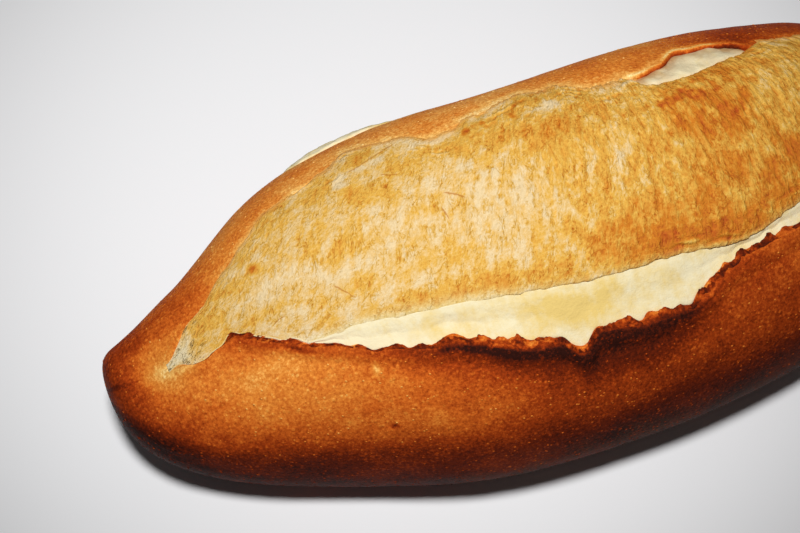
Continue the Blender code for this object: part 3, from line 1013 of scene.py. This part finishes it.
class BOLILLO_OT_crumb(bpy.types.Operator):
    """Add the bare crumb that shows between the front lip and the bloom and in the rear pocket"""
    bl_idname = "bolillo.crumb"
    bl_label = "Add Bare Crumb"

    def execute(self, context):
        sizes = context.scene.loaf_sizes
        x = places_along(CRUMB_SECTIONS)
        x = x[cut_fade(x) > END_SHUT]
        lip, crease, rear = cut_lines(x)
        deep = cut_fade(x)
        trough, shown = rear_pocket(x, rear)
        fold = fold_depth(x)
        low = sizes.crumb_depth * mixed(0.35, 1.0, ease((x + 0.060) / 0.035))
        high = mixed(0.00036, sizes.crease_depth, fold)
        under = 0.0032          # depth of the crumb under the bloom
        gap = crease - lip
        stops = [
            (lip - 1.8, -0.0018, 0.0, 3),
            (lip - 0.3, -0.0008, 1.0, 4),
            (lip + 0.16 * gap, -mixed(0.0007, low, 0.7), 1.0, 12),
            (lip + 0.45 * gap, -low, 1.0, 12),
            (lip + 0.80 * gap, -mixed(low, high, 0.75), 1.0, 14),
            (crease + 0.4, -high, 1.0, 4),
            (crease + 2.6, -under, 0.0, 10),
            (trough - 3.0, -under, 0.0, 5),
            (trough - 0.6, -mixed(under, 0.0004, shown), 1.0, 4),
            (trough + 0.5, -mixed(under, 0.0003, shown), 1.0, 20),
            (rear + 0.8, -mixed(under, sizes.pocket_depth, shown), 1.0, 4),
            (rear + 2.6, -0.0036, 0.0, 2),
            (rear + 2.0, -0.0070, 0.0, 8),
            (lip - 1.0, -0.0070, 0.0, 2),
            (lip - 1.8, -0.0018, 0.0, 0),
        ]
        angle, height, bare = columns(x, stops, 3)
        x, fade, lip, gap, rear, shown = (part[:, None] for part in (x, deep, lip, gap, rear, shown))
        lumps = 0.00012 * mottle(x / 0.0040, angle / 7.0, 31)
        lumps = (lumps + 0.00005 * mottle(x / 0.0014, angle / 2.5, 33)) * (1 + 1.2 * (angle > 90.0))
        raised = height * fade + lumps * bare - CRUMB_END_SINK * (1 - fade)
        mesh = closed_loft("crumb", skin(x, angle, raised))
        yolk = 0.25 + 0.85 * bump(x, -0.0075, 0.009) * bump(angle, lip + 0.58 * gap, 0.38 * gap)
        yolk = yolk + 0.35 * bump(x, -0.019, 0.007) * bump(angle, lip, 2.0) - 0.15 * (angle > 90.0)
        yolk = yolk - 0.45 * bump(x, -0.045, 0.008) + 0.6 * bump(x, -0.062, 0.006)
        # Painted shade: a little over the whole open pocket, and most just under the rear rim.
        painted_shade_under_rim = (0.25 + 0.75 * bump(angle, rear + 0.4, 4.2)) * shown * (angle > 90.0)
        mark(mesh, yolk=yolk, shade=painted_shade_under_rim * (0.85 + 0.5 * mottle(x / 0.0016, angle / 4.0, 35)))
        mesh.materials.append(finish("bare_crumb"))
        settle(place("crumb", mesh))
        return {'FINISHED'}


def bloom_toast(x, angle, crease, rear):
    """How toasted the bloom is, 0 to 1."""
    value = 0.24 + 0.26 * ease((x + 0.030) / 0.070) + 0.16 * ease((angle - 98.0) / 18.0)
    value = value + 0.20 * bump(angle, crease + 5.0, 3.5) * ease((x + 0.045) / 0.020)
    value = value - 0.20 * bump(angle, rear, 3.0) * ease((x + 0.045) / 0.015)
    value = value - 0.05 * ease((-0.046 - x) / 0.010)
    value = value + patches(x, angle, TOAST_CLOUDS)
    specks = np.maximum(mottle(x / 0.0016, angle / 2.6, 53, 2), 0.0)
    value = value + 0.9 * specks * (bump(x, -0.010, 0.009) * bump(angle, 111.0, 5.0)
                                    + bump(x, 0.028, 0.010) * bump(angle, 92.0, 6.0))
    ragged = 1.0 + 0.6 * mottle(x / 0.0012, angle / 2.2, 57, 2)
    value = value + patches(x, angle, TOAST_SPOTS) * ragged
    return value + 0.14 * mottle(x / 0.0085, angle / 12.0, 51)


def bloom_creases(x, angle, crease, rear, on_top):
    """Height of the bloom's shallow folds over the crumb and of its wrinkles along the rear."""
    weave = 3.0 * mottle(x / 0.0050, angle / 5.0, 71, 2)
    strength = np.maximum(0.35 + mottle(x / 0.0038, angle / 2.5, 75, 2), 0.0)
    folds = 0.00030 * np.sin(2.3 * (angle - crease) + weave) * ease(x / 0.016) * strength
    folds = folds * bump(angle, crease + 2.8, 4.2)
    curls = np.sin(1.9 * (angle - rear) + 3.2 * mottle(x / 0.0040, angle / 6.0, 73, 2))
    wrinkles = 0.00020 * curls * np.maximum(0.25 + mottle(x / 0.0044, angle / 3.0, 79, 2), 0.0)
    wrinkles = wrinkles * bump(angle, rear - 2.5, 4.5) * ease((x + 0.052) / 0.012)
    return (folds + wrinkles) * on_top


def bloom_marks(x, angle, crease, rear, bared, creases, on_top):
    """What the bloom's points are marked with for its finish."""
    fold = fold_depth(x)
    edge = bump(angle, rear + 3.4, 2.4) * on_top * (1 - bared)
    pale = bump(angle, crease, mixed(2.4, 1.3, fold)) * mixed(1.0, 0.35, fold)
    pale = pale * ease((x + 0.058) / 0.010) + 0.75 * ease((-0.0665 - x) / 0.003)
    porous = ease((-0.0640 - x) / 0.0035) * (0.75 + 0.5 * mottle(x / 0.0018, angle / 3.0, 109))
    side, reach = nearest_crack(x, angle)
    return {
        # toast also carries painted light and shade of the folds: paler on their crests, darker in their
        # hollows.
        "toast": np.clip(bloom_toast(x, angle, crease, rear) - FOLD_PAINTED_LIGHT * creases, 0.0, 1.2),
        "meets": np.clip(edge * (1.0 + 0.5 * mottle(x / 0.0020, angle / 2.0, 107)), 0.0, 1.0),
        "porous": np.clip(porous, 0.0, 1.0),
        "bare": np.minimum(pale, 1.0),
        "drawn": 0.18 + 0.82 * ease((x + 0.022) / 0.034) + 0 * angle,
        "crack_side": side,
        "crack_reach": reach * on_top,
    }


def nearest_crack(x, angle):
    """Each point's place beside the nearest crack's line, in millimetres, and 1 within its reach."""
    x, angle = np.broadcast_arrays(x, angle)
    side, reach = np.full(x.shape, 9.0), np.zeros(x.shape)
    nearest = np.full(x.shape, np.inf)
    for place_x, turn, half, heading in CRACKS:
        along_x, along_turn = math.cos(math.radians(heading)), math.sin(math.radians(heading))
        away, up = x - place_x, np.radians(angle - turn) * MEAN_RADIUS
        along, offset = away * along_x + up * along_turn, up * along_x - away * along_turn
        gap = np.hypot(offset, np.maximum(np.abs(along) - half, 0.0))
        closer = gap < nearest
        nearest = np.where(closer, gap, nearest)
        side = np.where(closer, 1000 * offset, side)
        reach = np.where(closer, ease((1.35 * half - np.abs(along)) / (0.5 * half)), reach)
    return side, reach


def fibre_tree(material):
    """Geometry node tree that raises torn flakes along a piece's flow and marks their crests."""
    nodes, given, result = new_group(
        "GeometryNodeTree", "Torn Fibres",
        {"Geometry": GEOMETRY, "Height": 0.00036, "Width": 0.0008, "Length": 0.0024, "Seed": 0.0},
        ("Geometry", GEOMETRY))
    parts = nodes.add("ShaderNodeSeparateXYZ", Vector=nodes.stored("flow", 'FLOAT_VECTOR')).outputs
    spot = nodes.add("ShaderNodeCombineXYZ", X=nodes.sums('DIVIDE', parts[0], given["Width"]),
                     Y=nodes.sums('DIVIDE', parts[1], given["Length"]), Z=given["Seed"]).outputs[0]
    noise = nodes.add("ShaderNodeTexNoise", Vector=spot, Scale=0.8, Detail=3.0, Roughness=0.6)
    swirl = nodes.vectors('SUBTRACT', noise.outputs["Color"], (0.5, 0.5, 0.5))
    moved = nodes.vectors('MULTIPLY_ADD', swirl, (1.6, 1.6, 1.6), spot)
    cells = nodes.add("ShaderNodeTexVoronoi", {"feature": 'SMOOTH_F1'}, Vector=moved, Scale=1.0,
                      Smoothness=0.4)
    flakes = nodes.sums('SUBTRACT', 0.45, cells.outputs["Distance"])
    rough = nodes.sums('MULTIPLY', nodes.sums('SUBTRACT', noise.outputs[0], 0.5), 1.2)
    crest = nodes.sums('ADD', flakes, rough)
    rise = nodes.sums('MULTIPLY', nodes.sums('MULTIPLY', crest, given["Height"]), nodes.stored("rough"))
    offset = nodes.add("ShaderNodeVectorMath", {"operation": 'SCALE'}, Scale=rise)
    nodes.put(offset.inputs[0], nodes.add("GeometryNodeInputNormal").outputs[0])
    raised = nodes.add("GeometryNodeSetPosition", Geometry=given["Geometry"], Offset=offset.outputs[0])
    stored = nodes.add("GeometryNodeStoreNamedAttribute", {"data_type": 'FLOAT', "domain": 'POINT'},
                       Geometry=raised.outputs[0], Name="fibre", Value=crest)
    real = nodes.add("GeometryNodeRealizeInstances", Geometry=stored.outputs[0])
    dressed = nodes.add("GeometryNodeSetMaterial", Geometry=real.outputs[0], Material=material)
    nodes.put(result, dressed.outputs[0])
    return nodes.tree


def grow(piece, tree, inputs):
    """Run a geometry node tree on a piece with its inputs set, and keep the result as a plain mesh."""
    modifier = piece.modifiers.new(tree.name, 'NODES')
    modifier.node_group = tree
    for item in tree.interface.items_tree:
        if item.item_type == 'SOCKET' and item.in_out == 'INPUT' and item.name in inputs:
            modifier[item.identifier] = inputs[item.name]
    bpy.context.view_layer.update()
    depsgraph = bpy.context.evaluated_depsgraph_get()
    mesh = bpy.data.meshes.new_from_object(
        piece.evaluated_get(depsgraph), preserve_all_data_layers=True, depsgraph=depsgraph)
    piece.modifiers.remove(modifier)
    piece.data = mesh
    mesh.name = piece.name
    return mesh


class BOLILLO_OT_bloom(bpy.types.Operator):
    """Add the golden bloom that swelled out of the cut, with its torn fibres"""
    bl_idname = "bolillo.bloom"
    bl_label = "Add Bloom"

    def execute(self, context):
        sizes = context.scene.loaf_sizes
        x = places_along(BLOOM_SECTIONS)
        x = x[cut_fade(x) > END_SHUT]
        _, crease, rear = cut_lines(x)
        deep = cut_fade(x)
        trough, shown = rear_pocket(x, rear)
        fold = fold_depth(x) * np.clip(0.60 + 0.9 * mottle(x / 0.0045, 0 * x, 101), 0.0, 1.0)
        crease = crease + 0.28 * mottle(x / 0.0016, 0 * x, 103) * cut_fade(x)
        edge = np.minimum(5.0, (trough - crease) / 5)
        stops = [
            (crease + 0.5 * edge, -0.0030, 0.0, 3),
            (crease + mixed(-0.7, 0.25, fold), mixed(-0.0011, -0.0017, fold), 0.0, 3),
            (crease + mixed(-0.4, -0.20, fold), mixed(-0.0006, -0.0010, fold), 0.2, 4),
            (crease + mixed(0.2, 0.05, fold), mixed(-0.00035, -0.00045, fold), 0.3, 5),
            (crease + 0.35 * edge, mixed(-0.00024, -0.00012, fold), 0.5, 7),
            (crease + edge, 0.0, 1.0, 88),
            (mixed(rear - 4.0, trough - edge, shown), 0.00008, 1.0, 10),
            (mixed(rear + 1.5, trough - 0.3 * edge, shown), mixed(0.00010, -0.0002, shown), 0.7, 6),
            (mixed(rear + 5.0, trough, shown), mixed(-0.00022, -0.0009, shown), 0.5, 3),
            (mixed(rear + 4.6, trough + 0.3 * edge, shown), mixed(-0.0014, -0.0026, shown), 0.0, 2),
            (mixed(rear - 1.0, trough - 0.3 * edge, shown), -0.0044, 0.0, 8),
            (crease + 0.8 * edge, -0.0044, 0.0, 2),
            (crease + 0.5 * edge, -0.0030, 0.0, 0),
        ]
        angle, height, rough = columns(x, stops, 2)
        on_top = np.arange(angle.shape[1]) < sum(stop[3] for stop in stops[:8])
        x, crease, rear, fade, bared = (part[:, None] for part in (x, crease, rear, deep, shown))
        creases = bloom_creases(x, angle, crease, rear, on_top)
        swell = 0.00026 * mottle(x / 0.010, angle / 26.0, 61) * rough
        mesh = closed_loft("bloom", skin(x, angle, height * fade + swell + creases - END_SINK * (1 - fade)))
        mark_flow(mesh, x, angle)
        coarse = 0.42 + 1.1 * ease((x + 0.025) / 0.035)
        mark(mesh, rough=rough * coarse * np.minimum(4 * fade, 1.0),
             **bloom_marks(x, angle, crease, rear, bared, creases, on_top))
        piece = place("bloom", mesh)
        grow(piece, fibre_tree(finish("torn_bloom")), {
            "Height": sizes.fibre_height * UNIT, "Width": sizes.fibre_width,
            "Length": sizes.fibre_length, "Seed": float(sizes.seed)})
        settle(piece)
        return {'FINISHED'}


def blister_tree(material):
    """Geometry node tree that scatters small flat blisters over the open skin of the crust."""
    nodes, given, result = new_group(
        "GeometryNodeTree", "Blisters",
        {"Geometry": GEOMETRY, "Density": 900000.0, "Radius": 0.00011, "Seed": WHOLE},
        ("Geometry", GEOMETRY))
    density = nodes.sums('MULTIPLY', nodes.stored("open_skin"), given["Density"])
    scatter = nodes.add("GeometryNodeDistributePointsOnFaces", Mesh=given["Geometry"], Density=density,
                        Seed=given["Seed"]).outputs
    drop = nodes.add("GeometryNodeMeshIcoSphere", Subdivisions=1, Radius=1.0)
    luck = nodes.add("FunctionNodeRandomValue", {"data_type": 'FLOAT'}, Seed=given["Seed"])
    skewed = nodes.sums('MULTIPLY', nodes.sums('POWER', luck.outputs[1], 4.0), 1.3)
    radius = nodes.sums('MULTIPLY', nodes.sums('ADD', skewed, 0.55), given["Radius"])
    flat = nodes.add("ShaderNodeCombineXYZ", X=nodes.sums('MULTIPLY', radius, 1.25), Y=radius,
                     Z=nodes.sums('MULTIPLY', radius, 0.45))
    drops = nodes.add("GeometryNodeInstanceOnPoints", Points=scatter["Points"],
                      Instance=drop.outputs["Mesh"], Rotation=scatter["Rotation"], Scale=flat.outputs[0])
    real = nodes.add("GeometryNodeRealizeInstances", Geometry=drops.outputs[0])
    smooth = nodes.add("GeometryNodeSetShadeSmooth", Geometry=real.outputs[0])
    dressed = nodes.add("GeometryNodeSetMaterial", Geometry=smooth.outputs[0], Material=material)
    nodes.put(result, dressed.outputs[0])
    return nodes.tree


class BOLILLO_OT_blisters(bpy.types.Operator):
    """Scatter tiny pale blisters over the crust"""
    bl_idname = "bolillo.blisters"
    bl_label = "Add Blisters"

    def execute(self, context):
        sizes = context.scene.loaf_sizes
        crust = bpy.data.objects.get("crust")
        if crust is None:
            raise RuntimeError("the blisters need the crust first")
        piece = place("blisters", crust.data.copy())
        mesh = grow(piece, blister_tree(finish("baked_crust")), {
            "Density": sizes.blister_density / UNIT ** 2, "Radius": sizes.blister_radius * UNIT,
            "Seed": sizes.seed})
        if not mesh.polygons:
            raise RuntimeError("no blister was made")
        bake = np.empty(len(mesh.vertices), np.float32)
        mesh.attributes["bake"].data.foreach_get("value", bake)
        places = np.empty((len(mesh.vertices), 3), np.float32)
        mesh.vertices.foreach_get("co", places.ravel())
        spans = np.ptp(places.reshape(-1, DROP_POINTS, 3), axis=1).max(axis=1)
        bright = ease((spans / np.quantile(spans, BRIGHT_FROM) - 1.0) / 0.12)
        pale = np.repeat(bright, DROP_POINTS) * (1.0 - 0.6 * ease((bake - 0.60) / 0.30))
        bake = bake * mixed(0.93, 0.64, pale) - 0.05
        bake = np.clip(bake, 0.1, 1.0)
        mesh.attributes["bake"].data.foreach_set("value", bake.astype(np.float32))
        settle(piece)
        return {'FINISHED'}


class BOLILLO_OT_side_burst(bpy.types.Operator):
    """Add the side burst: a low pillow of crumb that broke through the rear of the crust"""
    bl_idname = "bolillo.side_burst"
    bl_label = "Add Side Burst"

    def execute(self, context):
        sizes = context.scene.loaf_sizes
        x = np.linspace(BURST_FROM, BURST_TO, BURST_SECTIONS)[1:-1]
        share = (x - BURST_FROM) / (BURST_TO - BURST_FROM)
        arch = np.sin(math.pi * share ** BURST_LEAN) ** 0.8
        half = BURST_SPREAD * arch * (1 + 0.10 * mottle(x / 0.0030, 0 * x, 81))
        middle = BURST_ANGLE + 2.0 * mottle(x / 0.009, 0 * x, 83)
        turn = np.linspace(0.0, math.tau, BURST_AROUND, endpoint=False)
        x, arch, half, middle = (part[:, None] for part in (x, arch, half, middle))
        angle = middle - half * np.cos(turn)
        up = np.sin(turn)
        rise = np.where(up > 0, sizes.burst_rise * np.maximum(up, 0.0) ** 0.8, 0.003 * up) * arch ** 1.5
        rise = rise + 0.00014 * mottle(x / 0.0016, angle / 2.6, 87) * (up > 0) * arch
        mesh = closed_loft("side_burst", skin(x, angle, rise))
        mark(mesh, yolk=0.35 + 0.3 * ease((0.45 - up) / 0.5) + 0.3 * mottle(x / 0.0025, angle / 4.0, 89))
        mesh.materials.append(finish("bare_crumb"))
        settle(place("side_burst", mesh))
        return {'FINISHED'}


def towards(azimuth, elevation):
    """Direction from the loaf towards a place round it and above it."""
    flat = math.cos(elevation)
    return Vector((math.sin(azimuth) * flat, -math.cos(azimuth) * flat, math.sin(elevation)))


class BOLILLO_OT_stage(bpy.types.Operator):
    """Add the pale floor, the soft studio light and the camera"""
    bl_idname = "bolillo.stage"
    bl_label = "Add Stage"

    def execute(self, context):
        stage = context.scene.loaf_stage
        scene = context.scene
        scene.view_settings.view_transform = 'Standard'
        world = bpy.data.worlds.new("studio")
        world.use_nodes = True
        world.node_tree.nodes["Background"].inputs["Color"].default_value = (1.0, 1.0, 1.0, 1.0)
        world.node_tree.nodes["Background"].inputs["Strength"].default_value = stage.fill
        scene.world = world

        floor = bpy.data.meshes.new("floor")
        around = ((-1, -1), (1, -1), (1, 1), (-1, 1))
        floor.from_pydata([(a * FLOOR_REACH, b * FLOOR_REACH, 0.0) for a, b in around], [], [(0, 1, 2, 3)])
        material, _, shader = new_material("studio_floor")
        shader["Base Color"].default_value = (*linear(context.scene.loaf_colours.floor), 1.0)
        shader["Roughness"].default_value = 0.8
        shader["Specular IOR Level"].default_value = 0.2
        floor.materials.append(material)
        place("floor", floor)

        back = towards(stage.azimuth, stage.elevation)
        camera_data = bpy.data.cameras.new("camera")
        camera_data.lens = stage.lens
        camera_data.sensor_width = SENSOR_WIDTH
        camera = place("camera", camera_data)
        camera.location = (Vector(stage.aim) + back * stage.distance) * UNIT
        camera.rotation_euler = back.to_track_quat('Z', 'Y').to_euler()
        scene.camera = camera

        lit_from = towards(stage.azimuth, stage.elevation + stage.key_tilt)
        key_data = bpy.data.lights.new("key", 'SPOT')
        key_data.energy = stage.key_power
        key_data.shadow_soft_size = stage.key_radius
        key_data.spot_size = stage.key_spread
        key_data.spot_blend = 1.0
        key = place("key", key_data)
        key.location = (Vector(stage.key_aim) + lit_from * stage.key_distance) * UNIT
        key.rotation_euler = lit_from.to_track_quat('Z', 'Y').to_euler()
        return {'FINISHED'}


class BOLILLO_PT_panel(bpy.types.Panel):
    """Lists the loaf's pieces and its sizes"""
    bl_label = "Bolillo Roll"
    bl_idname = "BOLILLO_PT_panel"
    bl_space_type = 'VIEW_3D'
    bl_region_type = 'UI'
    bl_category = "Bolillo"

    def draw(self, context):
        for operator in OPERATORS:
            self.layout.operator(operator.bl_idname)
        for name, kind in SETTINGS.items():
            box = self.layout.box()
            for setting in kind.__annotations__:
                box.prop(getattr(context.scene, name), setting)


OPERATORS = (BOLILLO_OT_stage, BOLILLO_OT_crust, BOLILLO_OT_shreds, BOLILLO_OT_crumb, BOLILLO_OT_bloom,
             BOLILLO_OT_side_burst, BOLILLO_OT_blisters)
SETTINGS = {"loaf_sizes": LoafSizes, "loaf_colours": LoafColours, "loaf_stage": StageSettings}
CLASSES = (*SETTINGS.values(), *OPERATORS, BOLILLO_PT_panel)


def register():
    for kind in CLASSES:
        bpy.utils.register_class(kind)
    for name, kind in SETTINGS.items():
        setattr(bpy.types.Scene, name, PointerProperty(type=kind))


def unregister():
    for name in SETTINGS:
        delattr(bpy.types.Scene, name)
    for kind in reversed(CLASSES):
        bpy.utils.unregister_class(kind)


def main():
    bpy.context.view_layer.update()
    register()
    bpy.ops.bolillo.stage()
    bpy.ops.bolillo.crust()
    bpy.ops.bolillo.shreds()
    bpy.ops.bolillo.crumb()
    bpy.ops.bolillo.bloom()
    bpy.ops.bolillo.side_burst()
    bpy.ops.bolillo.blisters()


if __name__ == "__main__":
    main()
